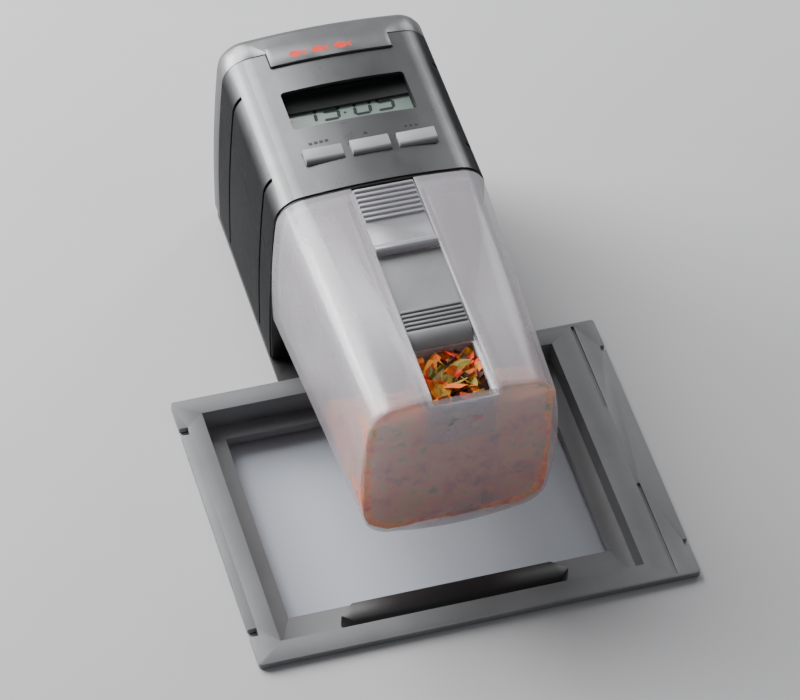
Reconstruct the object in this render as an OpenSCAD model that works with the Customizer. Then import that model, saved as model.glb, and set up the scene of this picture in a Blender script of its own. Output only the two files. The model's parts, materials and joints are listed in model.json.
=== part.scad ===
// Automatic fish feeder: a battery-driven body with a turning food drum,
// standing at the rear edge of its own drop-in frame for a tank hood.
// +X right, +Y towards the back, +Z up. z = 0 is the top surface of the hood,
// y = 0 the joint between body and drum, x = 0 the feeder's centre plane.

/* [Body] */
// Width of the body across its crowned sides
body_w = 65; // [62:0.5:68]
// Top of the body above the hood
body_top = 71.5; // [70:0.5:74]
// Radius of the body's upper long edges
body_edge_r = 9; // [7:0.5:10]
// Radius of the body's lower long edges
body_lower_r = 1.6; // [1:0.1:2.4]
// Wall thickness of the body mouldings
wall = 2.2; // [1.8:0.1:2.4]
// Rear end of the front moulding, where the battery cover starts
parting_y = 58.2; // [57:0.1:60]
// Depth of the battery cover behind the parting line
cover_depth = 9.6; // [8:0.1:11]
// Height by which the cover's grip tongue stands proud
tongue_rise = 0.8; // [0.3:0.1:1]

/* [Front panel] */
// Half width of the inlaid panel
panel_half = 25.75; // [24:0.05:27]
// Thickness of the inlaid panel
panel_t = 1.2; // [1:0.1:1.4]
// Width of the display window
window_w = 37.6; // [34:0.2:40]
// Depth of the display window, front to back
window_d = 15.4; // [13:0.2:17]
// Middle of the display window behind the drum joint
window_y = 34.1; // [32:0.1:36]
// Width of a button
button_w = 11.6; // [10:0.1:12]
// Depth of a button, front to back
button_d = 4.8; // [4:0.1:6]
// Distance between buttons
button_pitch = 14.1; // [13:0.1:15]
// Middle of the button row behind the drum joint
button_y = 14.2; // [12:0.1:16]
// Height of the button tops above the panel
button_rise = 1.4; // [1:0.1:1.8]

/* [Drum] */
// Height of the drum's axis above the hood
axis_z = 42; // [41:0.5:43]
// Half width of the drum at its rear
drum_rear_half = 32.3; // [31.6:0.1:32.4]
// Half width of the drum at its front
drum_front_half = 29; // [28:0.1:30]
// Half height of the drum at its rear
drum_rear_rise = 29.5; // [29:0.1:29.6]
// Half height of the drum at its front
drum_front_rise = 29; // [28.4:0.1:29.4]
// Front edge of the drum, ahead of the joint
drum_length = 82.3; // [80:0.1:84]
// Radius of the drum's long edges
drum_edge_r = 9; // [8:0.5:10]
// Thickness of the drum's wall
drum_wall = 1.6; // [1.4:0.1:2]
// Gap between drum and body
drum_gap = 0.5; // [0.4:0.1:0.8]
// Half width of the slide channel's mouth
channel_half = 9.4; // [9:0.1:9.8]
// Travel of the dosing slide from open to shut
dosing_travel = 20; // [16:1:20]
// Travel of the refill slide
refill_travel = 20; // [16:1:20]

/* [Frame] */
// Left edge of the frame's rim
frame_left = -65; // [-68:0.5:-63]
// Right edge of the frame's rim
frame_right = 66.5; // [64:0.5:69]
// Rear edge of the frame's rim
frame_rear = -9.1; // [-9.5:0.1:-9.1]
// Front edge of the frame's rim
frame_front = -108.8; // [-112:0.2:-106]
// Top of the rim above the hood
rim_top = 2.4; // [2:0.1:2.6]
// Depth of the frame below the hood's surface
skirt_depth = 8.5; // [6:0.5:10]

/* [Hidden] */
$fn = 64;
// Small gaps: between fixed mouldings, and in running fits
fixed_gap = 0.1;
running_gap = 0.05;
// The body stands on its foot
foot_t = 1.6;
body_h = body_top - foot_t;
body_mid = foot_t + body_h/2;
side_crown = 0.7;
top_crown = 1.2;
housing_y = 0.8;
// Gears: module and tooth counts
gear_module = 0.6;
output_teeth = 48;
idler_teeth = 40;
small_teeth = 12;
idler_z = axis_z - gear_module*(output_teeth + small_teeth)/2;
motor_angle = -30;
pinion_reach = gear_module*(idler_teeth + small_teeth)/2;
motor_x = pinion_reach*cos(motor_angle);
motor_z = idler_z + pinion_reach*sin(motor_angle);
output_y = [4.4, 7.4];
idler_y = [8.2, 10.2];
plate_y = [12, 13.6];
post_x = 21;
post_z = [9.2, 58];
motor_r = 7.6;
motor_len = 20;
// Spindle
journal_r = 4;
tail_r = 2;
drive_square = 7;
drive_len = 10;
// Electronics
board_z = [62.4, 64];
display_z = [64.6, 66.2];
mask_z = [66.3, 67.2];
mask_y = 36.2;
mat_z = [64.2, 66];
flange_z = [66.9, 67.7];
button_middle_x = 0.8;
// Batteries: two AA cells lying across the body
cell_r = 7.25;
cell_len = 49.3;
cell_y = 50.6;
cell_z = [16, 31.6];
tray_half = 28.4;
tray_z = [7.4, 40.2];
tray_y = [42, 57.8];
// Fan on the left side
fan_size = 20;
fan_x = [-28.6, -22.6];
fan_y = 28;
fan_z = 24;
fan_bore_r = 9.2;
// Drum channel
floor_z = [65.6, 67.2];
lip_z = 70.1;
undercut_half = channel_half + 0.8;
trough_half = undercut_half + 1.4;
slide_half = undercut_half - 0.2;
grip_half = channel_half - 0.2;
channel_end = -(drum_length - 0.3);
dosing_z = [67.4, 68.9];
refill_z = [69.1, 69.9];
window_back = -61.4;
window_front = -81.5;
chute_z = [50, 65.5];
// Front ends of the slides, with the window open and the refill opening shut
dosing_front = channel_end + 1 + dosing_travel;
refill_front = -46 + refill_travel;
// Frame
recess_x = [-57, 51.5];
recess_y = [-102, -15.2];
opening_x = [-51, 46];
opening_y = [-89, -20.3];
skirt_wall = 1.8;
ledge_z = -5.5;
seal_t = 0.5;
tab_x = 20;
tab_half = 5;
tab_reach = 3;

// ---- shared shapes ----

// Quarter circle from angle a, as points in the X-Z plane
function corner_arc(x, z, r, a) = [for (i = [0:8]) [x + r*cos(a + i*90/8), z + r*sin(a + i*90/8)]];

// Points between p and q along a side that bulges outwards by crown
function crowned_side(p, q, crown) =
    let (steps = crown > 0 ? 8 : 1, d = (q - p)/norm(q - p))
    [for (i = [1:1:steps - 1]) let (t = i/steps) p + (q - p)*t + [d[1], -d[0]]*4*crown*t*(1 - t)];

// Rounded rectangle with crowned sides, w by h over the crowns; low_r rounds its lower corners
function outline(w, h, r, low_r, side, top, bottom) =
    let (x = w/2 - side, t = h/2 - top, b = bottom - h/2)
    concat(
        corner_arc(x - r, t - r, r, 0),
        crowned_side([x - r, t], [r - x, t], top),
        corner_arc(r - x, t - r, r, 90),
        crowned_side([-x, t - r], [-x, b + low_r], side),
        corner_arc(low_r - x, b + low_r, low_r, 180),
        crowned_side([low_r - x, b], [x - low_r, b], bottom),
        corner_arc(x - low_r, b + low_r, low_r, 270),
        crowned_side([x, b + low_r], [x, t - r], side));

// The body's outline, moved in from the outer surface by inset
function body_outline(inset) =
    [for (p = outline(body_w - 2*inset, body_h - 2*inset,
        body_edge_r - inset, max(0.4, body_lower_r - inset),
        side_crown, top_crown, 0)) [p[0], p[1] + body_mid]];

// The drum's outline at distance y ahead of the joint, moved in by inset
function drum_outline(y, inset) =
    let (t = y/drum_length,
        w = drum_rear_half + (drum_front_half - drum_rear_half)*t,
        h = drum_rear_rise + (drum_front_rise - drum_rear_rise)*t)
    [for (p = outline(2*(w - inset), 2*(h - inset),
        max(2, drum_edge_r - inset), max(2, drum_edge_r - inset),
        0.7 + 0.8*t, top_crown + 0.4*t, 1 + 1.2*t)) [p[0], p[1] + axis_z]];

// Solid through outlines of equal length, from the front one to the rear one
module loft(outlines, ys) {
    n = len(outlines[0]);
    rings = len(ys);
    points = [for (i = [0:rings - 1]) for (p = outlines[i]) [p[0], ys[i], p[1]]];
    sides = [for (i = [0:rings - 2]) for (j = [0:n - 1])
        let (k = (j + 1)%n) [i*n + j, i*n + k, (i + 1)*n + k, (i + 1)*n + j]];
    front = [for (j = [n - 1:-1:0]) j];
    rear = [for (j = [0:n - 1]) (rings - 1)*n + j];
    polyhedron(points, concat(sides, [front, rear]));
}

// Prism along Y of an outline given in X-Z
module along_y(y0, y1) {
    translate([0, y1, 0]) rotate([90, 0, 0]) linear_extrude(y1 - y0) children();
}

module body_prism(y0, y1, inset) {
    along_y(y0, y1) polygon(body_outline(inset));
}

// Span reaching half to each side of middle
function around(middle, half) = [middle - half, middle + half];

module block(x, y, z) {
    translate([x[0], y[0], z[0]]) cube([x[1] - x[0], y[1] - y[0], z[1] - z[0]]);
}

module rod_y(x, z, r, y0, y1) {
    translate([x, y1, z]) rotate([90, 0, 0]) cylinder(r = r, h = y1 - y0);
}

module rod_x(y, z, r, x0, x1) {
    translate([x0, y, z]) rotate([0, 90, 0]) cylinder(r = r, h = x1 - x0);
}

module rod_z(x, y, r, z0, z1) {
    translate([x, y, z0]) cylinder(r = r, h = z1 - z0);
}

// Flat plate with rounded corners in plan
module rounded_block(x, y, z, r) {
    block([x[0] + r, x[1] - r], y, z);
    block(x, [y[0] + r, y[1] - r], z);
    for (cx = [x[0] + r, x[1] - r], cy = [y[0] + r, y[1] - r]) rod_z(cx, cy, r, z[0], z[1]);
}

// Spur gear outline with straight-flanked teeth and some backlash
module gear_outline(teeth, phase) {
    pitch_r = teeth*gear_module/2;
    root_r = pitch_r - 1.25*gear_module;
    tip_r = pitch_r + 0.9*gear_module;
    step = 360/teeth;
    points = [for (i = [0:teeth - 1]) for (q = [[-0.29, root_r], [-0.1, tip_r], [0.1, tip_r],
        [0.29, root_r]])
        q[1]*[cos(phase + (i + q[0])*step), sin(phase + (i + q[0])*step)]];
    polygon(points);
}

module gear(x, z, teeth, phase, y) {
    translate([x, 0, z]) along_y(y[0], y[1]) gear_outline(teeth, phase);
}

// Thin insulated wire along a route
module wire(route, r) {
    sides = 8;
    last = len(route) - 1;
    function heading(i) = route[min(i + 1, last)] - route[max(i - 1, 0)];
    points = [for (i = [0:last])
        let (d = heading(i)/norm(heading(i)), u = cross(d, [0.2, 0.5, 0.9]), a = u/norm(u), b = cross(d, a))
        for (j = [0:sides - 1]) route[i] + r*(cos(j*360/sides)*a + sin(j*360/sides)*b)];
    walls = [for (i = [0:last - 1]) for (j = [0:sides - 1]) for (half = [0, 1])
        let (k = (j + 1)%sides, a = i*sides + j, b = (i + 1)*sides + k)
        half == 0 ? [a, (i + 1)*sides + j, b] : [a, b, i*sides + k]];
    start = [for (j = [0:sides - 1]) j];
    end = [for (j = [sides - 1:-1:0]) last*sides + j];
    polyhedron(points, concat(walls, [start, end]));
}

// ---- body mouldings ----

function button_x(i) = button_middle_x + (i - 1)*button_pitch;

module panel_space(grow) {
    intersection() {
        difference() {
            body_prism(housing_y - 1, parting_y + 1, 0);
            translate([0, 0, -panel_t - grow]) body_prism(housing_y - 2, parting_y + 2, 0);
        }
        block([-panel_half - grow, panel_half + grow], [housing_y - 1, parting_y + 1], [60, body_top + 1]);
    }
}

// Slot along one side wall, hooked over onto the rounded edge at its top
module side_slot(y, side) {
    intersection() {
        difference() {
            body_prism(y - 0.7, y + 0.7, -1);
            body_prism(y - 2, y + 2, 1.1);
        }
        block(side > 0 ? [26, 36] : [-36, -26], [y - 2, y + 2], [5, 67.5]);
    }
}

module main_housing() {
    color("#55565a") difference() {
        union() {
            difference() {
                body_prism(housing_y, parting_y, 0);
                body_prism(housing_y - 1, parting_y + 1, wall);
            }
            for (x = [-15, 15], y = [18, 38]) rod_z(x, y, 2.8, foot_t + 1, 6.2);
        }
        panel_space(0.03);
        for (y = [12, 45.7], side = [-1, 1]) side_slot(y, side);
        block([-20, 20], [window_y - 8.8, window_y + 8.8], [60, 80]);
        for (i = [0:2]) block(around(button_x(i), button_w/2 + 0.3),
            around(button_y, button_d/2 + 0.3), [60, 80]);
        for (x = [-15, 15], y = [18, 38]) rod_z(x, y, 1.25, 0, 7);
        block([-4.2, 4.2], [54.5, 56.2], [66, 70.35]);
    }
}

module fascia_panel() {
    color("#8d8e93") difference() {
        intersection() {
            panel_space(0);
            block([-40, 40], [housing_y, parting_y - 0.1], [60, 80]);
        }
        rounded_block(window_w/2*[-1, 1], around(window_y, window_d/2), [60, 80], 1.2);
        for (i = [0:2]) block(around(button_x(i), button_w/2 + 0.2),
            around(button_y, button_d/2 + 0.2), [60, 80]);
        block([-18.8, 18.8], [52, 60], [60, 80]);
    }
}

module rear_cover() {
    start = parting_y + 0.25;
    end = parting_y + cover_depth;
    ys = [start, end - 3.6, end - 1.8, end - 0.6, end];
    insets = [0, 0, 0.7, 1.9, 3.4];
    inner_ys = [start - 1, end - 3.4, end - wall];
    inner_insets = [wall, wall, 3.6];
    color("#6e7075") {
        difference() {
            loft([for (inset = insets) body_outline(inset)], ys);
            loft([for (inset = inner_insets) body_outline(inset)], inner_ys);
        }
        // Grip tongue over the panel's rear edge
        intersection() {
            translate([0, 0, tongue_rise]) body_prism(52.3, start + 2, 0);
            difference() {
                translate([0, 0, body_top]) rotate([90, 0, 0]) translate([0, 0, -start - 1])
                    linear_extrude(start + 1 - 52.3)
                        polygon([[-18.5, 2], [-18.5, -1.1], [18.5, -1.1], [18.5, 2]]);
                block([-60, -18.5], [40, 70], [60, 80]);
            }
        }
        // Snap tab under the roof and locating tab at the floor
        block([-4, 4], [54.6, start + 1], [67.2, 68.9]);
        block([-4, 4], [54.7, 56], [68.8, 69.9]);
        block([-4, 4], [start + 0.2, start + 1.2], [68.8, 70]);
        block([-10, 10], [55, start + 1.2], [foot_t + wall + 0.1, foot_t + wall + 1.4]);
        block([-10, 10], [start + 0.2, start + 1.2], [foot_t + wall - 0.5, foot_t + wall + 1]);
    }
}

module drive_plate() {
    color("#1b1b1d") difference() {
        union() {
            body_prism(0, housing_y, 0.5);
            body_prism(housing_y - 0.01, 2.4, wall + fixed_gap);
            for (x = [-post_x, post_x], z = post_z) rod_y(x, z, 2.5, 2, plate_y[0]);
            rod_y(0, idler_z, 3, 2, output_y[0] - 0.6);
        }
        rod_y(0, axis_z, 6, -1, 5);
        rod_y(0, idler_z, 1.52, 2.4, 9);
        for (x = [-post_x, post_x], z = post_z) rod_y(x, z, 1.25, 4, plate_y[0] + 1);
    }
}

module foot() {
    color("#161617") difference() {
        union() {
            block([-31.5, 31.5], [frame_rear + 0.1, 62], [0, foot_t]);
            for (x = [-tab_x, tab_x]) block(around(x, tab_half), [frame_rear - tab_reach, 0], [0.4, 1.3]);
        }
        for (x = [-25, 25], y = [6, 54]) rod_z(x, y, 4.1, -1, 1);
        for (x = [-15, 15], y = [18, 38]) {
            rod_z(x, y, 1.4, -1, 3);
            translate([x, y, -0.01]) cylinder(r1 = 2.7, r2 = 1.4, h = 1.3);
        }
    }
}

module foot_pads() {
    color("#0f0f10") for (x = [-25, 25], y = [6, 54]) rod_z(x, y, 4, 0, 0.95);
}

module foot_screws() {
    color("#c2c4c6") for (x = [-15, 15], y = [18, 38]) difference() {
        union() {
            rod_z(x, y, 1.2, 0.2, 6);
            translate([x, y, 0.2]) cylinder(r1 = 2.4, r2 = 1.2, h = 1.15);
        }
        block(around(x, 1.6), around(y, 0.25), [-1, 0.6]);
        block(around(x, 0.25), around(y, 1.6), [-1, 0.6]);
    }
}

// ---- display and buttons ----

module lcd_frame() {
    inner_w = window_w + 0.4;
    inner_d = window_d + 0.4;
    color("#101011") difference() {
        block([-19.8, 19.8], [window_y - 8.6, window_y + 8.6], [display_z[1] + 0.1, 69.2]);
        block(inner_w/2*[-1, 1], around(window_y, inner_d/2), [mask_z[1], 80]);
        block(inner_w/2*[-1, 1], [window_y - inner_d/2, mask_y], [60, 80]);
    }
}

module lcd_lens() {
    color("#d8e4e4", 0.4) block((window_w/2 + 0.05)*[-1, 1], around(window_y, window_d/2 + 0.05),
        [68, 68.8]);
}

module lcd_display() {
    color("#9fb0a3") block([-20.4, 20.4], [window_y - 10, window_y + 10], display_z);
}

module display_connector() {
    color("#2b2b2e") for (y = [window_y - 8.6, window_y + 7.4])
        block([-19, 19], [y, y + 1.2], [board_z[1] + 0.02, display_z[0] - 0.02]);
}

module circuit_board() {
    color("#2f6b3f") {
        difference() {
            block([-24, 24], [7, 50], board_z);
            for (x = [-21.5, 21.5], y = [20, 47.5]) rod_z(x, y, 1.3, 60, 66);
        }
        // Timer chip, crystal and three capacitors under the board
        block([-6, 6], [30, 42], [board_z[0] - 1.6, board_z[0]]);
        rod_x(24, board_z[0] - 1.1, 1.2, -14, -8);
        for (x = [8, 13, 18]) rod_z(x, 24, 1.8, board_z[0] - 4, board_z[0]);
    }
}

module keypad_mat() {
    color("#3a3a3d") {
        block([-21, 22], [10.4, 18], [mat_z[0], mat_z[0] + 0.8]);
        for (i = [0:2]) rod_z(button_x(i), button_y, 1.9, mat_z[0] + 0.5, mat_z[1]);
    }
}

module button(i) {
    top = body_top + button_rise - top_crown*pow(button_x(i)/(body_w/2 - body_edge_r), 2);
    half_w = button_w/2;
    half_d = button_d/2;
    color("#a8aaad") {
        intersection() {
            block(around(button_x(i), half_w), around(button_y, half_d), [flange_z[0], top]);
            // Sloped front and raked ends, so the cap narrows towards the drum
            translate([button_x(i), button_y, 0]) rotate([90, 0, 90]) translate([0, 0, -half_w])
                linear_extrude(button_w) polygon([[-half_d, 60], [half_d, 60], [half_d, top],
                    [0.9 - half_d, top - 0.1], [0.3 - half_d, top - 0.45], [-half_d, top - 1.1]]);
        }
        block(around(button_x(i), half_w + 0.9), around(button_y, half_d + 0.7), flange_z);
    }
}

module button_left() {
    button(0);
}

module button_middle() {
    button(1);
}

module button_right() {
    button(2);
}

// ---- drive ----

module gearbox_plate() {
    color("#d9d7cf") difference() {
        block([-23.8, 23.8], plate_y, [6, 61]);
        rod_y(0, axis_z, tail_r + running_gap, 0, 20);
        rod_y(0, idler_z, 1.52, 0, 20);
        rod_y(motor_x, motor_z, 2.1, 0, 20);
        for (x = [-post_x, post_x], z = post_z) rod_y(x, z, 1.4, 0, 20);
    }
}

module gearbox_screws() {
    color("#c2c4c6") for (x = [-post_x, post_x], z = post_z) difference() {
        union() {
            rod_y(x, z, 1.2, 5, plate_y[1] + 0.1);
            rod_y(x, z, 2.3, plate_y[1] + 0.02, plate_y[1] + 1.6);
        }
        block(around(x, 1.5), [plate_y[1] + 1, plate_y[1] + 2], around(z, 0.25));
        block(around(x, 0.25), [plate_y[1] + 1, plate_y[1] + 2], around(z, 1.5));
    }
}

module motor() {
    front = plate_y[1] + 0.02;
    color("#a9abae") difference() {
        union() {
            rod_y(motor_x, motor_z, motor_r, front, front + motor_len);
            rod_y(motor_x, motor_z, 2, front - 1.4, front + 1);
            rod_y(motor_x, motor_z, 2.6, front + motor_len - 0.5, front + motor_len + 1.2);
        }
        rod_y(motor_x, motor_z, 1 + running_gap, front - 3, front + 3);
    }
}

module motor_saddle() {
    color("#d9d7cf") difference() {
        block(around(motor_x, 9.4), [22, 28], [foot_t + wall + 0.02, motor_z + 2]);
        rod_y(motor_x, motor_z, motor_r + 0.02, 20, 30);
        for (x = around(motor_x, 14.6)) rod_y(x, foot_t + wall, 6.4, 20, 30);
    }
}

module motor_shaft() {
    color("#d0d2d4") rod_y(motor_x, motor_z, 1, idler_y[0] - 1, plate_y[1] + 2.8);
}

module motor_pinion() {
    color("#c9a24a") difference() {
        gear(motor_x, motor_z, small_teeth, 165, [idler_y[0] - 0.4, idler_y[1] + 0.4]);
        rod_y(motor_x, motor_z, 1, 0, 20);
    }
}

module idler_gear() {
    color("#e8e6df") difference() {
        union() {
            gear(0, idler_z, idler_teeth, 6, idler_y);
            gear(0, idler_z, small_teeth, 15, [output_y[0] - 0.2, idler_y[0] + 0.1]);
        }
        rod_y(0, idler_z, 1.5 + running_gap, 0, 20);
    }
}

module idler_pin() {
    color("#c2c4c6") rod_y(0, idler_z, 1.5, 2.6, plate_y[1]);
}

module output_gear() {
    color("#e8e6df") difference() {
        union() {
            gear(0, axis_z, output_teeth, 0, output_y);
            rod_y(0, axis_z, 5, output_y[0] - 0.2, output_y[1] + 1.4);
        }
        rod_y(0, axis_z, 3, 0, 20);
    }
}

module drive_spindle() {
    color("#2a2a2c") difference() {
        union() {
            block(drive_square/2*[-1, 1], [-drive_len - drum_gap, 0.1], around(axis_z, drive_square/2));
            rod_y(0, axis_z, journal_r, 0, output_y[0] - 0.2);
            rod_y(0, axis_z, 3, output_y[0] - 0.3, plate_y[0] - 0.3);
            rod_y(0, axis_z, tail_r, plate_y[0] - 0.4, 19.2);
        }
        difference() {
            rod_y(0, axis_z, 3, 18, 18.6);
            rod_y(0, axis_z, 1.5, 17, 19.5);
        }
    }
}

module spindle_bush() {
    color("#b58d3c") difference() {
        union() {
            rod_y(0, axis_z, 5.98, 0.2, 2.5);
            rod_y(0, axis_z, 7.2, 2.42, 3.6);
        }
        rod_y(0, axis_z, journal_r + running_gap, -2, 6);
    }
}

module position_cam() {
    color("#e8e6df") difference() {
        rod_y(0, axis_z, 8, 14.4, 16.8);
        rod_y(0, axis_z, tail_r, 10, 20);
        block([-2, 2], [10, 20], [axis_z + 6.4, axis_z + 10]);
    }
}

module spindle_clip() {
    color("#c2c4c6") difference() {
        rod_y(0, axis_z, 3.4, 18.05, 18.55);
        rod_y(0, axis_z, 1.52, 10, 20);
        block([-1, 1], [10, 20], [axis_z, axis_z + 5]);
    }
}

module position_switch() {
    color("#29292b") {
        block([-6.4, 6.4], [14, 19.8], [axis_z + 10.2, axis_z + 16.4]);
        rod_y(0, axis_z + 9.6, 1.2, 15, 16.6);
        for (x = [-4.5, 0, 4.5]) block(around(x, 0.3), [19.6, 22.4], [axis_z + 12.4, axis_z + 14]);
    }
}

// ---- fan ----

module fan_frame() {
    color("#1b1b1d") difference() {
        union() {
            difference() {
                block(fan_x, around(fan_y, fan_size/2), around(fan_z, fan_size/2));
                rod_x(fan_y, fan_z, fan_bore_r, fan_x[0] - 1, fan_x[1] + 1);
            }
            rod_x(fan_y, fan_z, 3.6, fan_x[1] - 1, fan_x[1]);
            for (a = [0:120:240]) translate([fan_x[1] - 1, fan_y, fan_z]) rotate([a, 0, 0])
                translate([0, -0.6, 0]) cube([1, 1.2, fan_bore_r + 0.5]);
        }
        rod_x(fan_y, fan_z, 0.8, fan_x[0], fan_x[1] + 1);
        for (y = around(fan_y, 8.3), z = around(fan_z, 8.3)) rod_x(y, z, 0.9, fan_x[0] - 1, fan_x[1] + 1);
    }
}

module fan_rotor() {
    blades = 7;
    color("#232326") {
        rod_x(fan_y, fan_z, 3.4, fan_x[0] + 0.5, fan_x[1] - 1.3);
        rod_x(fan_y, fan_z, 0.75, fan_x[1] - 2, fan_x[1] - 0.2);
        for (i = [0:blades - 1]) translate([(fan_x[0] + fan_x[1])/2 - 0.4, fan_y, fan_z])
            rotate([i*360/blades, 0, 0]) rotate([0, 0, 35]) translate([-0.4, -2, 2.8]) cube([0.8, 4, 5.6]);
    }
}

// ---- batteries ----

module battery_tray() {
    color("#242427") difference() {
        block(tray_half*[-1, 1], tray_y, tray_z);
        for (z = cell_z) {
            block([-27.4, 27.4], [cell_y, 70], around(z, cell_r + 0.25));
            rod_x(cell_y, z, cell_r + 0.25, -27.4, 27.4);
        }
    }
}

module battery_cell(z) {
    rod_x(cell_y, z, cell_r, -cell_len/2, cell_len/2 - 1.4);
    rod_x(cell_y, z, 2.7, cell_len/2 - 1.5, cell_len/2);
}

module battery_upper() {
    color("#b58b2d") battery_cell(cell_z[1]);
}

module battery_lower() {
    color("#b58b2d") translate([0, 0, 2*cell_z[0]])
        mirror([0, 0, 1]) mirror([1, 0, 0]) battery_cell(cell_z[0]);
}

module battery_contacts() {
    color("#c9ccce") {
        // Linked strip on the left, two single strips with tabs on the right
        block([-27.3, -26.8], around(cell_y, 2.4), [cell_z[0] - 5, cell_z[1] + 5]);
        for (z = cell_z) {
            block([26.8, 27.3], around(cell_y, 2.4), around(z, 5));
            for (side = [-1, 1]) rod_x(cell_y, z, 1.6, side > 0 ? 24.8 : -26.9, side > 0 ? 26.9 : -24.8);
        }
    }
}

module motor_leads() {
    rear = plate_y[1] + motor_len + 1.4;
    color("#b3261e") wire([[motor_x - 4, rear - 1.2, motor_z], [motor_x - 4, rear + 1.6, motor_z + 1],
        [motor_x - 4, rear + 2.2, motor_z + 6], [motor_x - 3, 36, 40], [8, 36, 52], [7, 36, 56],
        [7, 36, 60]], 0.55);
    color("#222222") wire([[motor_x + 4, rear - 1.2, motor_z], [motor_x + 4, rear + 1.6, motor_z + 1],
        [motor_x + 4, rear + 2.2, motor_z + 6], [motor_x + 3, 36, 40], [14, 36, 52], [13, 36, 56],
        [13, 36, 60]], 0.55);
}

module battery_leads() {
    color("#b3261e") wire([[29.1, 46, 33], [29.2, 43, 36], [28.4, 40.6, 42], [24, 40, 52],
        [20, 42, 58], [20, 42, 62]], 0.5);
    color("#222222") wire([[29.1, 46, 14], [29.2, 42.6, 16], [28.6, 39.4, 24], [27.6, 38.4, 40],
        [22, 37, 54], [18, 38, 58],
        [18, 38, 62]], 0.5);
}

// ---- drum ----

module drum_shell() {
    front = -drum_length;
    // Fine rounding of the front edge, then a shallow dome
    outer_ys = [front - 1.5, front - 1.4, front - 1.05, front - 0.55, front - 0.1, front + 0.7,
        front + 2, -drum_gap];
    outer_insets = [24, 17, 9, 2.6, 0.9, 0.2, 0, 0];
    inner_ys = [front + drum_wall - 0.6, front + drum_wall + 0.4, front + drum_wall + 2, 1];
    inner_insets = [6, drum_wall + 1.2, drum_wall, drum_wall];
    color("#aaa8af", 0.55) difference() {
        union() {
            difference() {
                loft([for (i = [0:7]) drum_outline(min(drum_length, -outer_ys[i]),
                    outer_insets[i])], outer_ys);
                loft([for (i = [0:3]) drum_outline(max(0, -inner_ys[i]), inner_insets[i])], inner_ys);
            }
            block(trough_half*[-1, 1], [front + 0.9, -drum_gap - 3.4], [floor_z[0], axis_z + 27.9]);
        }
        block(undercut_half*[-1, 1], [channel_end, 5], [floor_z[1], lip_z]);
        block(channel_half*[-1, 1], [channel_end, 5], [floor_z[1], body_top + 3]);
        block([-8, 8], [-21, -5], [60, 75]);
        block([-8.7, 8.7], [window_front, window_back], [60, 75]);
    }
}

module drum_end_plate() {
    plate = [-drum_gap - 2.6, -drum_gap];
    color("#97959c") difference() {
        union() {
            along_y(plate[0], plate[1]) polygon(drum_outline(-plate[0], drum_wall + 0.12));
            rod_y(0, axis_z, 8, -15.5, plate[1]);
        }
        block((drive_square/2 + 0.1)*[-1, 1], [-drive_len - drum_gap - 0.4, 5],
            around(axis_z, drive_square/2 + 0.1));
        block(undercut_half*[-1, 1], [-5, 5], [floor_z[0] - 0.1, 80]);
        for (i = [0:7])
            translate([0, 0, axis_z]) rotate([0, i*45 + 22.5, 0]) block([-1, 1], [-5, 5], [12, 20]);
    }
}

module drum_seal() {
    y = [-drum_gap - 3.7, -drum_gap - 2.65];
    color("#2a2a2c") difference() {
        along_y(y[0], y[1]) polygon(drum_outline(drum_gap + 3, drum_wall + 0.15));
        along_y(y[0] - 1, y[1] + 1) polygon(drum_outline(drum_gap + 3, drum_wall + 3));
        block((trough_half + 0.1)*[-1, 1], [-10, 5], [floor_z[0] - 0.1, 80]);
    }
}

module dosing_chute() {
    x = 10.2;
    y = [-81, -60.4];
    color("#9a98a0", 0.6) difference() {
        block(x*[-1, 1], y, chute_z);
        block((x - 1)*[-1, 1], y + [1, -1], [chute_z[0] - 1, chute_z[1] + 1]);
        block((x - 1)*[-1, 1], [y[1] - 2, y[1] + 1], [chute_z[0] - 1, chute_z[0] + 9]);
    }
}

module refill_slide() {
    ribs = 7;
    rib_pitch = 1.9;
    rear = -0.7;
    color("#b3b2b6", 0.7) {
        block(slide_half*[-1, 1], [refill_front, rear], refill_z);
        block(grip_half*[-1, 1], [refill_front, rear], [refill_z[0], 70.7]);
        for (i = [0:ribs - 1])
            block((grip_half - 0.4)*[-1, 1], around(rear - 1 - i*rib_pitch, 0.5), [70.6, 71.4]);
        // Raised finger lip at the front end
        translate([-grip_half, refill_front, 0]) rotate([90, 0, 90]) linear_extrude(2*grip_half)
            polygon([[0, 70.6], [0, 71.2], [0.7, 71.7], [1.9, 71.6], [3.2, 70.6]]);
    }
}

module dosing_slide() {
    ribs = 5;
    rib_pitch = 1.55;
    first_rib = dosing_front + 12.2;
    color("#8f9194") {
        block(slide_half*[-1, 1], [dosing_front + 3, refill_front - 0.3], dosing_z);
        block(grip_half*[-1, 1], [dosing_front + 3, first_rib + 1.2], [dosing_z[0], 69.6]);
        for (i = [0:ribs - 1])
            block((grip_half - 0.3)*[-1, 1], around(first_rib - i*rib_pitch, 0.42), [69.5, 70.4]);
        // Sloped nose that closes on the front of the window
        translate([-grip_half, dosing_front, 0]) rotate([90, 0, 90]) linear_extrude(2*grip_half)
            polygon([[5, 67.4], [5, 70.2], [4, 70.2], [2.4, 69.7], [0.8, 68.6], [0, 67.4]]);
    }
}

// ---- frame ----

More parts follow.
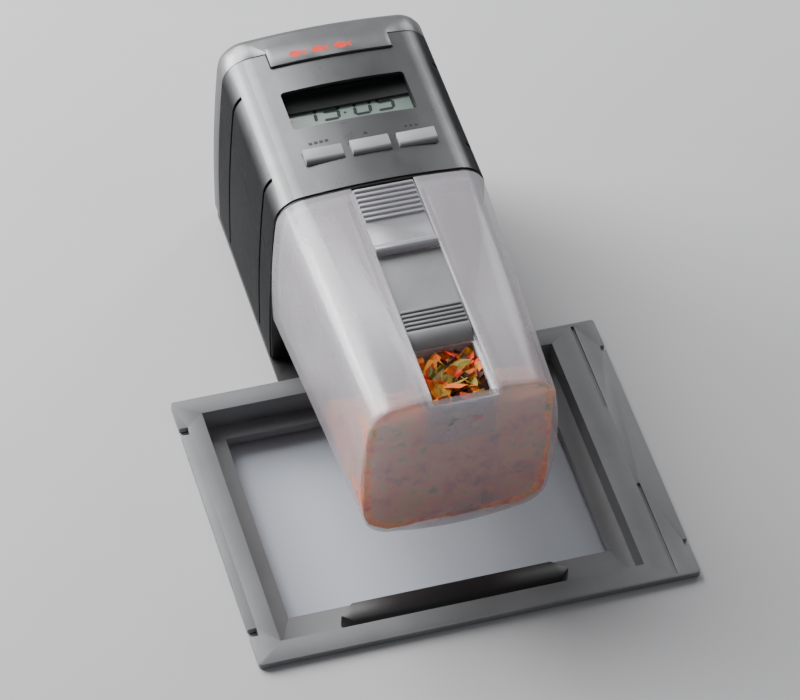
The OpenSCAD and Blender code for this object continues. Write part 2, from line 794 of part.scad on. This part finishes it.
module mounting_frame() {
    notch_y = [-97.2, -20.8];
    groove_x = 59.4;
    color("#7d8284") difference() {
        union() {
            rounded_block([frame_left, frame_right], [frame_front, frame_rear], [seal_t, rim_top], 1);
            block([recess_x[0] - skirt_wall, recess_x[1] + skirt_wall],
                [recess_y[0] - skirt_wall, recess_y[1] + skirt_wall], [-skirt_depth, seal_t + 0.1]);
        }
        block(recess_x, recess_y, [ledge_z, 5]);
        block(opening_x, opening_y, [-skirt_depth - 1, 5]);
        for (y = notch_y) {
            block([frame_left - 1, frame_left + 2.6], around(y, 1.4), [-1, 5]);
            block([frame_right - 1.4, frame_right + 1], around(y, 1), [-1, 5]);
        }
        block(around(groove_x, 0.5), [-43, frame_rear - 1.2], [rim_top - 0.9, 5]);
        block(around(groove_x, 0.5), [frame_front + 1.2, -73], [rim_top - 0.9, 5]);
        for (x = [-tab_x, tab_x])
            block(around(x, tab_half + 0.2), [frame_rear - tab_reach - 0.2, 0], [0, 1.5]);
    }
}

module front_bar() {
    x = [-37.5, 31];
    y = [-99.6, -92];
    mid = (y[0] + y[1])/2;
    color("#0e0e0f") difference() {
        translate([0, 0, ledge_z + 0.02]) linear_extrude(5.2) polygon([[x[0], mid], [x[0] + 4.4, y[0]],
            [x[1] - 4.4, y[0]], [x[1], mid], [x[1] - 4.4, y[1]], [x[0] + 4.4, y[1]]]);
        translate([x[0] - 1, 0, 0]) rotate([90, 0, 90]) linear_extrude(x[1] - x[0] + 2)
            polygon([[y[0] - 1, 1], [y[0] - 1, -1.6], [y[0] + 1.4, -0.2], [y[0] + 1.4, 1]]);
    }
}

module frame_seal() {
    inset = 0.5;
    color("#0e0e0f") difference() {
        block([frame_left + inset, frame_right - inset], [frame_front + inset, frame_rear - inset],
            [0, seal_t - 0.02]);
        block([recess_x[0] - skirt_wall - 0.1, recess_x[1] + skirt_wall + 0.1],
            [recess_y[0] - skirt_wall - 0.1, recess_y[1] + skirt_wall + 0.1], [-1, 2]);
        for (x = [-tab_x, tab_x])
            block(around(x, tab_half + 0.2), [frame_rear - tab_reach - 0.2, 0], [-1, 2]);
        for (y = [-97.2, -20.8]) {
            block([frame_left - 1, frame_left + 2.6], around(y, 1.4), [-1, 5]);
            block([frame_right - 1.4, frame_right + 1], around(y, 1), [-1, 5]);
        }
    }
}

main_housing();
fascia_panel();
rear_cover();
drive_plate();
foot();
foot_pads();
foot_screws();
lcd_lens();
lcd_display();
lcd_frame();
display_connector();
circuit_board();
keypad_mat();
button_left();
button_middle();
button_right();
motor();
motor_saddle();
motor_shaft();
motor_pinion();
idler_gear();
idler_pin();
output_gear();
drive_spindle();
spindle_bush();
spindle_clip();
gearbox_plate();
gearbox_screws();
position_cam();
position_switch();
fan_frame();
fan_rotor();
battery_tray();
battery_upper();
battery_lower();
battery_contacts();
motor_leads();
battery_leads();
drum_shell();
drum_end_plate();
drum_seal();
dosing_chute();
refill_slide();
dosing_slide();
mounting_frame();
front_bar();
frame_seal();
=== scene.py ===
# Automatic fish feeder: looks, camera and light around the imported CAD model.
# Metres, in the CAD frame: +X right, +Y back, +Z up, z = 0 on top of the tank hood.
import json
import math
import random

import bmesh
import bpy
from mathutils import Matrix, Vector


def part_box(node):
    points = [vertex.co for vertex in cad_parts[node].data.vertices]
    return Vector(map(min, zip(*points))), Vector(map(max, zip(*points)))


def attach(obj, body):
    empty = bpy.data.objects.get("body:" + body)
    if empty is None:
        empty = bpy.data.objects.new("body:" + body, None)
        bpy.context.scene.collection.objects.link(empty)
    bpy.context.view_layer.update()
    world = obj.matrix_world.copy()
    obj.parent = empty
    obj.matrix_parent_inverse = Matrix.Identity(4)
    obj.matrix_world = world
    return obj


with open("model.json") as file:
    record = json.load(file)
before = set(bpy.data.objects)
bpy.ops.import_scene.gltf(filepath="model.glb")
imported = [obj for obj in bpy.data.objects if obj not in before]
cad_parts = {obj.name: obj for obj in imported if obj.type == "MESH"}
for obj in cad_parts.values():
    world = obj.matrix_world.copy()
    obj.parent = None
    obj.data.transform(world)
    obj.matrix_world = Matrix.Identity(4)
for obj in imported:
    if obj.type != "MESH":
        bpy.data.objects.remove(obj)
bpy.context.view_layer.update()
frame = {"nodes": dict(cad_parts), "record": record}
nodes = frame["nodes"]

MM = 0.001
WELD_REACH = 0.01 * MM
BEVEL_ANGLE = 28  # degrees: edges sharper than this are rounded
SHARP_ANGLE = 24  # degrees: normals are not blended across edges sharper than this
GRAIN_DEPTH = 0.06 * MM
PRINT_LIFT = 0.02 * MM


# ---------------------------------------------------------------- camera

def make_camera():
    """Long lens, looking down on the drum's front from its left."""
    azimuth, elevation, roll = math.radians(-19.23), math.radians(49.02), math.radians(3.57)
    distance = 1.2677
    target = Vector((-0.0013, -0.0289, 0.030))
    back = Vector((math.sin(azimuth) * math.cos(elevation),
                   -math.cos(azimuth) * math.cos(elevation),
                   math.sin(elevation)))
    right = (-back).cross(Vector((0, 0, 1))).normalized()
    up = right.cross(-back)
    side = right * math.cos(roll) + up * math.sin(roll)
    top = up * math.cos(roll) - right * math.sin(roll)
    data = bpy.data.cameras.new("camera")
    data.lens = 196.3
    data.sensor_width = 36.0
    data.clip_end = 10.0
    camera = bpy.data.objects.new("camera", data)
    turn = Matrix((side, top, back)).transposed().to_4x4()
    camera.matrix_world = Matrix.Translation(target + back * distance) @ turn
    bpy.context.scene.collection.objects.link(camera)
    bpy.context.scene.camera = camera


# ---------------------------------------------------------------- mesh helpers

def new_object(name, mesh, material=None):
    piece = bpy.data.objects.new(name, mesh)
    bpy.context.scene.collection.objects.link(piece)
    if material:
        mesh.materials.append(material)
    return piece


def mesh_from(name, points, faces, material=None):
    mesh = bpy.data.meshes.new(name)
    mesh.from_pydata([tuple(p) for p in points], [], faces)
    mesh.update()
    return new_object(name, mesh, material)


def soften(piece, width):
    """Welds a CAD mesh's face borders and rounds its edges, without touching its own vertices."""
    weld = piece.modifiers.new("weld", "WELD")
    weld.merge_threshold = WELD_REACH
    if width:
        bevel = piece.modifiers.new("edges", "BEVEL")
        bevel.width = width
        bevel.segments = 2
        bevel.limit_method = "ANGLE"
        bevel.angle_limit = math.radians(BEVEL_ANGLE)
        bevel.use_clamp_overlap = True
        bevel.miter_outer = "MITER_ARC"
    split = piece.modifiers.new("sharp", "EDGE_SPLIT")
    split.split_angle = math.radians(SHARP_ANGLE)
    piece.data.polygons.foreach_set("use_smooth", [True] * len(piece.data.polygons))


# ---------------------------------------------------------------- materials

def start_material(name):
    material = bpy.data.materials.new(name)
    material.use_nodes = True
    tree = material.node_tree
    shader = tree.nodes["Principled BSDF"]
    return material, tree, shader


def add(tree, kind, **inputs):
    node = tree.nodes.new(kind)
    for key, value in inputs.items():
        node.inputs[key.replace("_", " ")].default_value = value
    return node


def ramp(tree, factor, stops):
    node = tree.nodes.new("ShaderNodeValToRGB")
    elements = node.color_ramp.elements
    while len(elements) < len(stops):
        elements.new(0.5)
    for element, (place, colour) in zip(elements, stops):
        element.position = place
        element.color = tuple(colour) + (1,) if len(colour) == 3 else colour
    tree.links.new(factor, node.inputs["Fac"])
    return node.outputs["Color"]


def noise(tree, scale, detail=3.0, rough=0.6, stretch=None):
    node = add(tree, "ShaderNodeTexNoise", Scale=scale, Detail=detail, Roughness=rough)
    coords = tree.nodes.new("ShaderNodeTexCoord").outputs["Object"]
    if stretch:
        mapping = add(tree, "ShaderNodeMapping", Scale=stretch)
        tree.links.new(coords, mapping.inputs["Vector"])
        coords = mapping.outputs["Vector"]
    tree.links.new(coords, node.inputs["Vector"])
    return node.outputs["Fac"]


def grey(value, tint=(1, 1, 1)):
    return tuple(value * t for t in tint)


def plastic(name, colour, rough=0.42, grain=2600, bump=0.12, spread=0.12, wear=0.25, metallic=0.0, coat=0.0,
            edge_tint=1.0):
    """Moulded plastic: fine spark-eroded grain, slow colour drift, rubbed edges.

    edge_tint below 1 darkens what a metallic lacquer mirrors at a grazing angle.
    """
    material, tree, shader = start_material(name)
    drift = noise(tree, 38, 4)
    low = tuple(c * (1 - spread) for c in colour)
    high = tuple(min(1, c * (1 + spread)) for c in colour)
    base = ramp(tree, drift, [(0.3, low), (0.7, high)])
    # Edges rubbed lighter, where the surface is most convex
    geometry = tree.nodes.new("ShaderNodeNewGeometry")
    edge = ramp(tree, geometry.outputs["Pointiness"], [(0.52, (0, 0, 0)), (0.62, (wear, wear, wear))])
    mix = tree.nodes.new("ShaderNodeMix")
    mix.data_type = "RGBA"
    mix.inputs[7].default_value = tuple(min(1, c * 1.7 + 0.04) for c in colour) + (1,)
    tree.links.new(edge, mix.inputs[0])
    tree.links.new(base, mix.inputs[6])
    tree.links.new(mix.outputs[2], shader.inputs["Base Color"])
    patches = noise(tree, 190, 5, 0.7)
    tree.links.new(ramp(tree, patches, [(0.25, grey(rough - 0.04)), (0.75, grey(rough + 0.04))]),
                   shader.inputs["Roughness"])
    fine = noise(tree, grain, 2, 0.5)
    bumps = add(tree, "ShaderNodeBump", Strength=bump, Distance=GRAIN_DEPTH)
    tree.links.new(fine, bumps.inputs["Height"])
    tree.links.new(bumps.outputs["Normal"], shader.inputs["Normal"])
    shader.inputs["Metallic"].default_value = metallic
    shader.inputs["Specular Tint"].default_value = (edge_tint, edge_tint, edge_tint, 1)
    shader.inputs["Coat Weight"].default_value = coat
    shader.inputs["Coat Roughness"].default_value = 0.18
    return material


def metal(name, colour, rough=0.28):
    """Metal brushed across its height."""
    material, tree, shader = start_material(name)
    drift = noise(tree, 160, 4)
    low = tuple(c * 0.85 for c in colour)
    tree.links.new(ramp(tree, drift, [(0.3, low), (0.7, colour)]), shader.inputs["Base Color"])
    brush = noise(tree, 900, 3, 0.6, (1, 1, 30))
    tree.links.new(ramp(tree, brush, [(0.3, grey(rough - 0.08)), (0.7, grey(rough + 0.1))]),
                   shader.inputs["Roughness"])
    bumps = add(tree, "ShaderNodeBump", Strength=0.08, Distance=0.05 * MM)
    tree.links.new(brush, bumps.inputs["Height"])
    tree.links.new(bumps.outputs["Normal"], shader.inputs["Normal"])
    shader.inputs["Metallic"].default_value = 1.0
    return material


def frosted(name, colour, alpha, rough=0.3):
    """Translucent frosted plastic; alpha is for one surface, and a wall has two."""
    material, tree, shader = start_material(name)
    drift = noise(tree, 30, 4, 0.6, (1, 0.25, 1))
    low = tuple(c * 0.93 for c in colour)
    high = tuple(min(1, c * 1.07) for c in colour)
    tree.links.new(ramp(tree, drift, [(0.3, low), (0.7, high)]), shader.inputs["Base Color"])
    cloud = noise(tree, 40, 3, 0.6)
    tree.links.new(ramp(tree, cloud, [(0.3, grey(alpha - 0.04)), (0.7, grey(alpha + 0.04))]),
                   shader.inputs["Alpha"])
    patches = noise(tree, 300, 4)
    tree.links.new(ramp(tree, patches, [(0.25, grey(rough - 0.06)), (0.75, grey(rough + 0.08))]),
                   shader.inputs["Roughness"])
    fine = noise(tree, 1900, 2)
    bumps = add(tree, "ShaderNodeBump", Strength=0.1, Distance=GRAIN_DEPTH)
    tree.links.new(fine, bumps.inputs["Height"])
    tree.links.new(bumps.outputs["Normal"], shader.inputs["Normal"])
    shader.inputs["Specular IOR Level"].default_value = 0.2
    # The surface's own sheen, which stays whole where the body of the plastic is see-through
    sheen = add(tree, "ShaderNodeBsdfGlossy", Color=(0.075, 0.075, 0.078, 1), Roughness=0.24)
    both = tree.nodes.new("ShaderNodeAddShader")
    tree.links.new(shader.outputs["BSDF"], both.inputs[0])
    tree.links.new(sheen.outputs["BSDF"], both.inputs[1])
    tree.links.new(both.outputs["Shader"], tree.nodes["Material Output"].inputs["Surface"])
    return material


def clear_window(name):
    """Clear lens with a faint smear."""
    material, tree, shader = start_material(name)
    smear = noise(tree, 120, 5, 0.7)
    tree.links.new(ramp(tree, smear, [(0.3, grey(0.05)), (0.8, grey(0.16))]), shader.inputs["Roughness"])
    tree.links.new(ramp(tree, smear, [(0.2, grey(0.02)), (0.9, grey(0.04))]), shader.inputs["Alpha"])
    shader.inputs["Base Color"].default_value = (0.05, 0.06, 0.06, 1)
    shader.inputs["Specular IOR Level"].default_value = 0.25
    return material


def flake_material(name, colour):
    """Dry flake, mottled within itself."""
    spread = 0.35
    material, tree, shader = start_material(name)
    drift = noise(tree, 420, 5, 0.7)
    low = tuple(c * (1 - spread) for c in colour)
    high = tuple(min(1, c * (1 + spread)) for c in colour)
    tree.links.new(ramp(tree, drift, [(0.3, low), (0.7, high)]), shader.inputs["Base Color"])
    bumps = add(tree, "ShaderNodeBump", Strength=0.5, Distance=0.2 * MM)
    tree.links.new(noise(tree, 1500, 3), bumps.inputs["Height"])
    tree.links.new(bumps.outputs["Normal"], shader.inputs["Normal"])
    shader.inputs["Roughness"].default_value = 0.75
    return material


def food_core_material(name):
    """Many flakes seen as one heap: red, orange and olive patches."""
    material, tree, shader = start_material(name)
    patches = noise(tree, 130, 6, 0.72)
    stops = [(0.30, (0.05, 0.012, 0.004)), (0.42, (0.62, 0.07, 0.01)), (0.50, (0.85, 0.19, 0.015)),
             (0.58, (0.66, 0.30, 0.03)), (0.68, (0.12, 0.09, 0.012))]
    colour = ramp(tree, patches, stops)
    tree.links.new(colour, shader.inputs["Base Color"])
    # Stands for the light that the frosted drum scatters onto the food
    tree.links.new(colour, shader.inputs["Emission Color"])
    shader.inputs["Emission Strength"].default_value = 0.12
    shader.inputs["Roughness"].default_value = 0.85
    return material


def make_materials():
    """One material for each of the record's slots, and two for single nodes."""
    cool = (1.0, 1.01, 1.04)
    return {
        "housing_plastic": plastic("housing_plastic", grey(0.11, cool), 0.3, bump=0.03, metallic=0.9,
                                   wear=0.0, edge_tint=0.18),
        "panel_silver": plastic("panel_silver", grey(0.14, cool), 0.3, bump=0.03, metallic=0.85, wear=0.0,
                                edge_tint=0.4),
        "cover_plastic": plastic("cover_plastic", grey(0.22, cool), 0.34, bump=0.05, metallic=0.7,
                                 wear=0.05, edge_tint=0.4),
        "black_plastic": plastic("black_plastic", (0.012, 0.012, 0.013), 0.36, wear=0.1),
        "black_rubber": plastic("black_rubber", (0.018, 0.018, 0.018), 0.7, bump=0.3, wear=0.1),
        "steel": metal("steel", (0.62, 0.62, 0.62)),
        "clear_lens": clear_window("clear_lens"),
        "lcd_glass": plastic("lcd_glass", (0.22, 0.28, 0.25), 0.3, grain=900, bump=0.02, spread=0.05,
                             wear=0.0),
        "board_green": plastic("board_green", (0.02, 0.13, 0.05), 0.35),
        "button_plastic": plastic("button_plastic", grey(0.28, cool), 0.36, bump=0.08),
        "motor_metal": metal("motor_metal", (0.6, 0.6, 0.58)),
        "gearbox_plastic": plastic("gearbox_plastic", (0.7, 0.68, 0.6), 0.45),
        "gear_plastic": plastic("gear_plastic", (0.8, 0.79, 0.73), 0.4),
        "spindle_plastic": plastic("spindle_plastic", (0.03, 0.03, 0.03), 0.4),
        "brass": metal("brass", (0.75, 0.5, 0.18)),
        "battery_wrap": plastic("battery_wrap", (0.5, 0.28, 0.05), 0.25, coat=0.4),
        "wire_insulation": plastic("wire_insulation", (0.4, 0.02, 0.015), 0.4),
        "drum_plastic": frosted("drum_plastic", (0.42, 0.40, 0.43), 0.44),
        "slide_frosted": frosted("slide_frosted", (0.30, 0.30, 0.32), 0.8),
        # Black plastic of the display's bezel, made nearly lightless as painted shade for the deep shadow
        # in the display's recess
        "bezel_black_and_painted_shade": plastic("bezel_black_and_painted_shade", (0.0025, 0.0025, 0.0028), 0.75, bump=0.02, wear=0.0),
        "slide_plastic": plastic("slide_plastic", grey(0.2, cool), 0.42, bump=0.08),
        "frame_plastic": plastic("frame_plastic", (0.155, 0.16, 0.165), 0.5, grain=1700, bump=0.25,
                                 metallic=0.1),
    }


def dress_nodes(materials):
    """Every CAD node takes the material of its slot and gets fine edges."""
    slots = {s["node"]: s["material_slot"] for s in frame["record"]["subparts"]}
    # Edge radii in mm; none on the two crowned mouldings, whose large faces would show creases
    edges = {"main_housing": 0, "fascia_panel": 0, "rear_cover": 0.3, "drive_plate": 0.12, "foot": 0.3,
             "drum_shell": 0.35, "refill_slide": 0.22, "dosing_slide": 0.2, "dosing_chute": 0.2,
             "mounting_frame": 0.4, "front_bar": 0.5, "frame_seal": 0.1, "button_left": 0.4,
             "button_middle": 0.4, "button_right": 0.4, "lcd_frame": 0.15, "drum_end_plate": 0.2}
    # The display's bezel takes a near-lightless black, partly its own black plastic and partly painted
    # shade in the display's recess
    special = {"refill_slide": "slide_frosted", "lcd_frame": "bezel_black_and_painted_shade"}
    for name, node in nodes.items():
        node.data.materials.clear()
        node.data.materials.append(materials[special.get(name, slots[name])])
        if name != "lcd_lens":
            soften(node, edges.get(name, 0.1) * MM)


# ---------------------------------------------------------------- food

def flake(bm, centre, size, rng, material_index, ceiling):
    """One thin, cupped, ragged flake that stays below a height."""
    tilt = 0.9
    turn = (Matrix.Rotation(rng.uniform(0, math.tau), 3, "Z")
            @ Matrix.Rotation(rng.uniform(-tilt, tilt), 3, "X")
            @ Matrix.Rotation(rng.uniform(-tilt, tilt), 3, "Y"))
    corners = rng.randint(5, 8)
    cup = rng.uniform(-0.25, 0.25) * size

    def corner(spot):
        place = centre + turn @ spot
        place.z = min(place.z, ceiling + rng.uniform(-0.3, 0.0) * MM)
        return bm.verts.new(place)

    middle = corner(Vector((0, 0, cup)))
    rim = []
    for k in range(corners):
        angle = math.tau * (k + rng.uniform(-0.3, 0.3)) / corners
        reach = size * rng.uniform(0.65, 1.15)
        rim.append(corner(Vector((reach * math.cos(angle), 0.72 * reach * math.sin(angle),
                                  rng.uniform(-0.15, 0.15) * size))))
    for k in range(corners):
        face = bm.faces.new((middle, rim[k], rim[(k + 1) % corners]))
        face.material_index = material_index


def make_flakes(name, low, high, count, size, seed, materials, ceiling):
    """Flakes scattered through a box, none above the ceiling."""
    rng = random.Random(seed)
    bm = bmesh.new()
    for _ in range(count):
        spot = Vector(rng.uniform(a, b) for a, b in zip(low, high))
        pick = rng.choices(range(len(materials)), weights=[5, 4, 4, 3, 2, 2])[0]
        flake(bm, spot, rng.uniform(0.6, 1.25) * size, rng, pick, ceiling)
    mesh = bpy.data.meshes.new(name)
    bm.to_mesh(mesh)
    bm.free()
    for material in materials:
        mesh.materials.append(material)
    piece = new_object(name, mesh)
    skin = piece.modifiers.new("thickness", "SOLIDIFY")
    skin.thickness = 0.18 * MM
    return piece


def food_core(material):
    """The heap of food as one lumpy body, lying in the drum and up against its front wall."""
    shell_low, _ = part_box("drum_shell")
    bm = bmesh.new()
    steps = (18, 26, 12)
    corner_r, corner_pull = 9 * MM, 7.5 * MM
    jitter = 0.25 * MM
    half_w = 27.1 * MM
    y_front = shell_low.y + 3.3 * MM
    y_back = -36 * MM
    z_low = shell_low.z + 2.6 * MM
    rng = random.Random(5)
    grid = {}

    def level(u, v):
        # Heaped higher towards the front, where the chute draws from it
        slope = 60 * MM - 40 * MM * v ** 1.5
        return slope + 1.2 * MM * math.sin(7 * u + 3 * v) + 1.0 * MM * math.sin(11 * v + 2 * u)

    def put(i, j, k):
        key = (i, j, k)
        if key not in grid:
            u, v, w = i / steps[0], j / steps[1], k / steps[2]
            top = level(u, v)
            z = z_low + (top - z_low) * w
            # Corners rounded like the drum's
            narrow = max(0.0, 1 - (z - z_low) / corner_r)
            x = (u - 0.5) * 2 * (half_w - corner_pull * (1 - math.sqrt(max(0.0, 1 - narrow ** 2))))
            grid[key] = bm.verts.new((x + rng.uniform(-jitter, jitter), y_front + (y_back - y_front) * v
                                      + rng.uniform(-jitter, jitter), z + rng.uniform(-jitter, jitter)))
        return grid[key]

    a, b, c = steps
    for i in range(a):
        for j in range(b):
            bm.faces.new((put(i, j, c), put(i + 1, j, c), put(i + 1, j + 1, c), put(i, j + 1, c)))
            bm.faces.new((put(i, j, 0), put(i, j + 1, 0), put(i + 1, j + 1, 0), put(i + 1, j, 0)))
    for i in range(a):
        for k in range(c):
            bm.faces.new((put(i, 0, k), put(i + 1, 0, k), put(i + 1, 0, k + 1), put(i, 0, k + 1)))
            bm.faces.new((put(i, b, k), put(i, b, k + 1), put(i + 1, b, k + 1), put(i + 1, b, k)))
    for j in range(b):
        for k in range(c):
            bm.faces.new((put(0, j, k), put(0, j, k + 1), put(0, j + 1, k + 1), put(0, j + 1, k)))
            bm.faces.new((put(a, j, k), put(a, j + 1, k), put(a, j + 1, k + 1), put(a, j, k + 1)))
    mesh = bpy.data.meshes.new("food_heap")
    bm.to_mesh(mesh)
    bm.free()
    mesh.polygons.foreach_set("use_smooth", [True] * len(mesh.polygons))
    piece = new_object("food_heap", mesh, material)
    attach(piece, "drum")


def make_food():
    """Flakes in the dosing chute and a heap behind the frosted wall."""
    colours = [(0.75, 0.045, 0.006), (0.82, 0.15, 0.01), (0.62, 0.24, 0.015), (0.26, 0.20, 0.02),
               (0.11, 0.08, 0.012), (0.05, 0.015, 0.006)]
    flakes = [flake_material("flake_%d" % i, c) for i, c in enumerate(colours)]
    food_core(food_core_material("food_heap"))
    chute_low, chute_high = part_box("dosing_chute")
    wall = 1.6 * MM
    low = (chute_low.x + wall, chute_low.y + wall, chute_high.z - 8 * MM)
    high = (chute_high.x - wall, chute_high.y - 2.6 * MM, chute_high.z + 0.3 * MM)
    fill = make_flakes("food_in_chute", low, high, 430, 3.0 * MM, 11, flakes,
                       chute_high.z + 1.4 * MM)
    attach(fill, "drum")


# ---------------------------------------------------------------- display and marks

SEGMENTS = {"0": "abcdef", "1": "bc", "3": "abgcd", "5": "afgcd"}


def bar(points, faces, x0, y0, x1, y1, z, thick):
    """Flat mitred bar between two points."""
    start, end = Vector((x0, y0)), Vector((x1, y1))
    along = (end - start).normalized()
    across = Vector((-along.y, along.x)) * thick / 2
    tip = along * thick / 2
    outline = [start, start + tip + across, end - tip + across,
               end, end - tip - across, start + tip - across]
    first = len(points)
    points.extend((p.x, p.y, z) for p in outline)
    faces.append([first + k for k in range(6)])


def make_digits():
    """A plain seven-segment time on the display."""
    low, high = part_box("lcd_display")
    z = high.z + 0.03 * MM
    middle_y = (low.y + high.y) / 2 + 1.2 * MM
    w, h, thick = 4.6 * MM, 6.2 * MM, 1.05 * MM
    slant = 0.12
    colon_x, dot_half = -0.9 * MM, 0.55 * MM
    points, faces = [], []
    starts = {"1": -14.4, "3": -7.4, "0": 2.2, "5": 9.2}
    for digit, start in starts.items():
        x, y = start * MM, middle_y
        spots = {
            "a": (x, y + h / 2, x + w, y + h / 2),
            "g": (x, y, x + w, y),
            "d": (x, y - h / 2, x + w, y - h / 2),
            "b": (x + w, y + h / 2, x + w, y),
            "c": (x + w, y, x + w, y - h / 2),
            "f": (x, y + h / 2, x, y),
            "e": (x, y, x, y - h / 2)}
        for segment in SEGMENTS[digit]:
            x0, y0, x1, y1 = spots[segment]
            lean0, lean1 = (y0 - y) * slant, (y1 - y) * slant
            bar(points, faces, x0 + lean0, y0, x1 + lean1, y1, z, thick)
    for dy in (-1.5 * MM, 1.5 * MM):
        x = colon_x + dy * slant
        bar(points, faces, x - dot_half, middle_y + dy, x + dot_half, middle_y + dy, z, thick)
    material, _, shader = start_material("lcd_ink")
    shader.inputs["Base Color"].default_value = (0.012, 0.02, 0.02, 1)
    shader.inputs["Roughness"].default_value = 0.35
    digits = mesh_from("lcd_digits", points, faces, material)
    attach(digits, "housing")


def surface_height(node, x, y):
    """Height of a CAD node's top surface at a point, so that a print can lie on it."""
    above_all = 0.2
    hit, spot, _, _ = nodes[node].ray_cast(Vector((x, y, above_all)), Vector((0, 0, -1)))
    return spot.z if hit else 0.0


def print_on(name, node, outlines, material):
    """Flat printed shapes laid on a node's top surface."""
    points, faces = [], []
    for outline in outlines:
        first = len(points)
        points.extend((x, y, surface_height(node, x, y) + PRINT_LIFT) for x, y in outline)
        faces.append(list(range(first, len(points))))
    return mesh_from(name, points, faces, material)


def ink(name, colour):
    """Printing ink with a little wear."""
    material, tree, shader = start_material(name)
    wear = noise(tree, 900, 4, 0.7)
    tree.links.new(ramp(tree, wear, [(0.25, grey(0.8, colour)), (0.6, colour)]),
                   shader.inputs["Base Color"])
    shader.inputs["Roughness"].default_value = 0.45
    return material


def fish_outline(x, y, length):
    """Body and tail of a plain fish, swimming to the left."""
    body = [(x - 0.5 * length + 0.72 * length * (0.5 - 0.5 * math.cos(a)),
             y + 0.23 * length * math.sin(a)) for a in (math.tau * k / 20 for k in range(20))]
    tail = [(x + 0.16 * length, y), (x + 0.5 * length, y + 0.24 * length), (x + 0.40 * length, y),
            (x + 0.5 * length, y - 0.24 * length)]
    return [body, tail]


def make_prints():
    """Plain generic prints: a row of red fish on the rear tongue, a small sign above each button."""
    tongue_y, fish_length = 55.3 * MM, 5.6 * MM
    shapes = [shape for x in (-9.5, -2.6, 4.3) for shape in fish_outline(x * MM, tongue_y, fish_length)]
    fish = print_on("print_fish", "rear_cover", shapes, ink("red_ink", (0.75, 0.035, 0.02)))
    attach(fish, "rear_cover")
    signs = []
    a = 0.55 * MM
    for key in ("button_left", "button_middle", "button_right"):
        low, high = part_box(key)
        x, y = (low.x + high.x) / 2, high.y + 2.4 * MM
        if key == "button_left":
            signs += [[(x + dx - a, y - a), (x + dx + a, y - a),
                       (x + dx + a, y + a), (x + dx - a, y + a)]
                      for dx in (-2.4 * MM, -0.8 * MM, 0.8 * MM, 2.4 * MM)]
        elif key == "button_middle":
            signs += [[(x - 1.6 * a, y - a), (x + 1.6 * a, y - a), (x, y + 1.3 * a)]]
        else:
            signs += [[(x + dx - a, y - a), (x + dx + a, y), (x + dx - a, y + a)]
                      for dx in (-1.6 * MM, 0.0, 1.6 * MM)]
    marks = print_on("print_signs", "fascia_panel", signs, ink("dark_ink", (0.01, 0.01, 0.011)))
    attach(marks, "housing")


# ---------------------------------------------------------------- stage and light

def pale(name, colour):
    """Matt pale paint for the stage."""
    material, tree, shader = start_material(name)
    patches = noise(tree, 14, 4)
    low = tuple(c * 0.97 for c in colour)
    tree.links.new(ramp(tree, patches, [(0.3, low), (0.7, colour)]), shader.inputs["Base Color"])
    shader.inputs["Roughness"].default_value = 0.8
    return material


def make_stage():
    """Pale floor with the cut-out that the frame drops into, and a pale plane below it."""
    low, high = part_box("mounting_frame")
    # How far the rim covers the floor on its left and front, on its right and at its rear
    cover, cover_right, cover_rear = 5.5 * MM, 13.0 * MM, 3.6 * MM
    x0, x1 = low.x + cover, high.x - cover_right
    y0, y1 = low.y + cover, high.y - cover_rear
    far = 1.5
    xs, ys = [-far, x0, x1, far], [-far, y0, y1, far]
    points = [(x, y, 0) for y in ys for x in xs]
    faces = [[j * 4 + i, j * 4 + i + 1, j * 4 + i + 5, j * 4 + i + 4]
             for j in range(3) for i in range(3) if (i, j) != (1, 1)]
    floor = mesh_from("floor", points, faces, pale("floor_pale", (0.54, 0.54, 0.55)))
    depth = low.z - 3 * MM
    corners = [(-far, -far, depth), (far, -far, depth), (far, far, depth), (-far, far, depth)]
    under = mesh_from("floor_below", corners, [[0, 1, 2, 3]], pale("floor_below_pale", (0.5, 0.54, 0.6)))


def area_light(name, place, aim, size, power):
    """Rectangular soft light, turned from its place towards the aim."""
    data = bpy.data.lights.new(name, "AREA")
    data.shape = "RECTANGLE"
    data.size, data.size_y = size
    data.energy = power
    light = bpy.data.objects.new(name, data)
    direction = Vector(aim) - Vector(place)
    turn = direction.to_track_quat("-Z", "Y").to_matrix().to_4x4()
    light.matrix_world = Matrix.Translation(place) @ turn
    bpy.context.scene.collection.objects.link(light)


def make_light():
    """Large soft lights behind on the left, a weak one on the right and a weaker one in front."""
    world = bpy.data.worlds.new("studio")
    world.use_nodes = True
    background = world.node_tree.nodes["Background"]
    background.inputs["Color"].default_value = (0.92, 0.95, 1.0, 1)
    background.inputs["Strength"].default_value = 0.16
    bpy.context.scene.world = world
    aim = (0, -0.02, 0.04)
    area_light("key", (-0.40, 0.62, 0.67), aim, (0.98, 0.70), 19)
    area_light("side", (-0.78, 0.62, 0.34), aim, (0.60, 0.50), 13)
    area_light("right", (0.62, 0.60, 0.55), aim, (0.35, 0.60), 2.4)
    area_light("fill", (0.45, -0.9, 0.5), aim, (0.6, 0.5), 0.8)


make_camera()
make_stage()
make_light()
dress_nodes(make_materials())
make_food()
make_digits()
make_prints()
